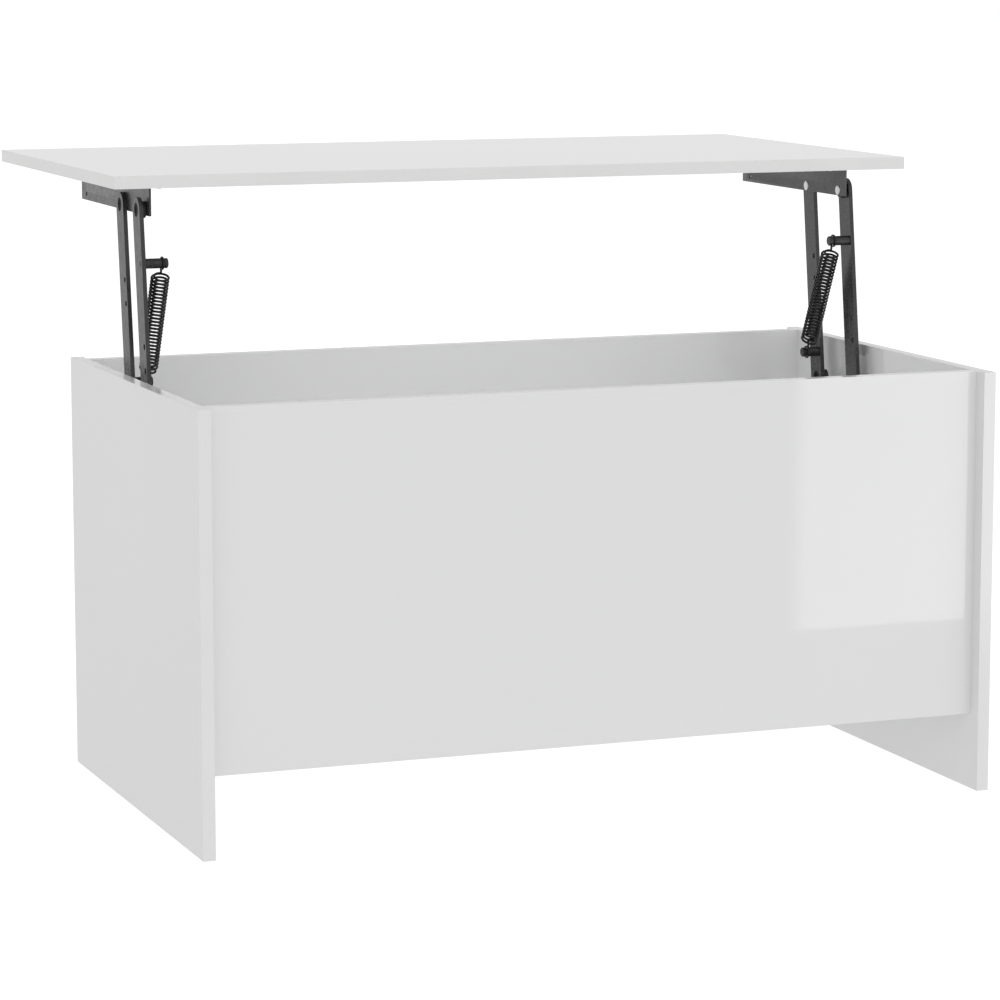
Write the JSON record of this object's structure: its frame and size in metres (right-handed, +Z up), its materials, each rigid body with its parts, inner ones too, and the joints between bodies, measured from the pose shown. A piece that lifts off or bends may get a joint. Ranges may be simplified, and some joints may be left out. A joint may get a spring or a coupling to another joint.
{
  "type": "lift top coffee table",
  "caption": "White high-gloss coffee table whose top lifts up and back on two sprung steel arm linkages, over a boxed storage compartment.",
  "frame": {"origin": "on the floor, under the middle of the whole table as it stands with its top raised", "axes": "+X to the table's right end, +Y to the back, where the top goes as it rises, +Z up"},
  "size_m": [1.02, 0.827, 0.75],
  "materials": {
    "board": "high gloss white lacquered chipboard",
    "black_steel": "satin black powder coat",
    "spring_steel": "black oiled spring wire",
    "zinc": "bright zinc plate",
    "dowel_wood": "plain beech"
  },
  "bodies": {
    "cabinet": {"end_panel_left": "board", "end_panel_right": "board", "front_panel": "board", "back_panel": "board", "bottom_board": "board", "cam_bolts": "zinc", "cam_housings": "zinc", "dowels": "dowel_wood", "base_bracket_left": "black_steel", "base_bracket_right": "black_steel", "base_screws": "zinc", "base_rivets": "zinc", "base_spacers": "black_steel", "stop_studs": "zinc"},
    "top": {"top": "board", "top_bracket_left": "black_steel", "top_bracket_right": "black_steel", "top_screws": "zinc", "top_rivets": "zinc", "top_spacers": "black_steel"},
    "front_arm_left": {"front_arm_left": "black_steel", "upper_pin_left": "black_steel"},
    "back_arm_left": {"back_arm_left": "black_steel", "lower_pin_left": "black_steel"},
    "spring_left": {"spring_left": "spring_steel"},
    "spring_hook_left": {"spring_hook_left": "spring_steel"},
    "front_arm_right": {"front_arm_right": "black_steel", "upper_pin_right": "black_steel"},
    "back_arm_right": {"back_arm_right": "black_steel", "lower_pin_right": "black_steel"},
    "spring_right": {"spring_right": "spring_steel"},
    "spring_hook_right": {"spring_hook_right": "spring_steel"}
  },
  "joints": [
    {"name": "lift", "type": "hinge", "parent": "cabinet", "child": "back_arm_left", "pos_m": [-0.4577, -0.00532, 0.46013], "axis": [1, 0, 0], "range_deg": [0, 92.48]},
    {"name": "front_arm_left_pivot", "type": "hinge", "parent": "cabinet", "child": "front_arm_left", "pos_m": [-0.463, -0.09732, 0.46013], "axis": [1, 0, 0], "range_deg": [0, 92.48]},
    {"name": "back_arm_right_pivot", "type": "hinge", "parent": "cabinet", "child": "back_arm_right", "pos_m": [0.4577, -0.00532, 0.46013], "axis": [1, 0, 0], "range_deg": [0, 92.48]},
    {"name": "front_arm_right_pivot", "type": "hinge", "parent": "cabinet", "child": "front_arm_right", "pos_m": [0.463, -0.09732, 0.46013], "axis": [1, 0, 0], "range_deg": [0, 92.48]},
    {"name": "top_pivot", "type": "hinge", "parent": "back_arm_left", "child": "top", "pos_m": [-0.4577, 0.0255, 0.7052], "axis": [1, 0, 0], "range_deg": [-92.48, 0]},
    {"name": "spring_swing_left", "type": "hinge", "parent": "back_arm_left", "child": "spring_left", "pos_m": [-0.439, -0.00914, 0.49387], "axis": [1, 0, 0], "range_deg": [-31.61, 0]},
    {"name": "spring_stretch_left", "type": "slide", "parent": "spring_left", "child": "spring_hook_left", "axis": [0, -0.4418, 0.8971], "range_m": [0, 0.076], "deforming": ["spring_left", "spring_hook_left"]},
    {"name": "spring_swing_right", "type": "hinge", "parent": "back_arm_right", "child": "spring_right", "pos_m": [0.439, -0.00914, 0.49387], "axis": [1, 0, 0], "range_deg": [-31.61, 0]},
    {"name": "spring_stretch_right", "type": "slide", "parent": "spring_right", "child": "spring_hook_right", "axis": [0, -0.4418, 0.8971], "range_m": [0, 0.076], "deforming": ["spring_right", "spring_hook_right"]}
  ],
  "couplings": [
    {"joint": "front_arm_left_pivot", "follows": "lift", "ratio": 1},
    {"joint": "back_arm_right_pivot", "follows": "lift", "ratio": 1},
    {"joint": "front_arm_right_pivot", "follows": "lift", "ratio": 1},
    {"joint": "top_pivot", "follows": "lift", "ratio": -1},
    {"joint": "spring_swing_left", "follows": "lift", "ratio": -0.34173},
    {"joint": "spring_stretch_left", "follows": "lift", "m_per_rad": 0.047022},
    {"joint": "spring_swing_right", "follows": "lift", "ratio": -0.34173},
    {"joint": "spring_stretch_right", "follows": "lift", "m_per_rad": 0.047022}
  ]
}
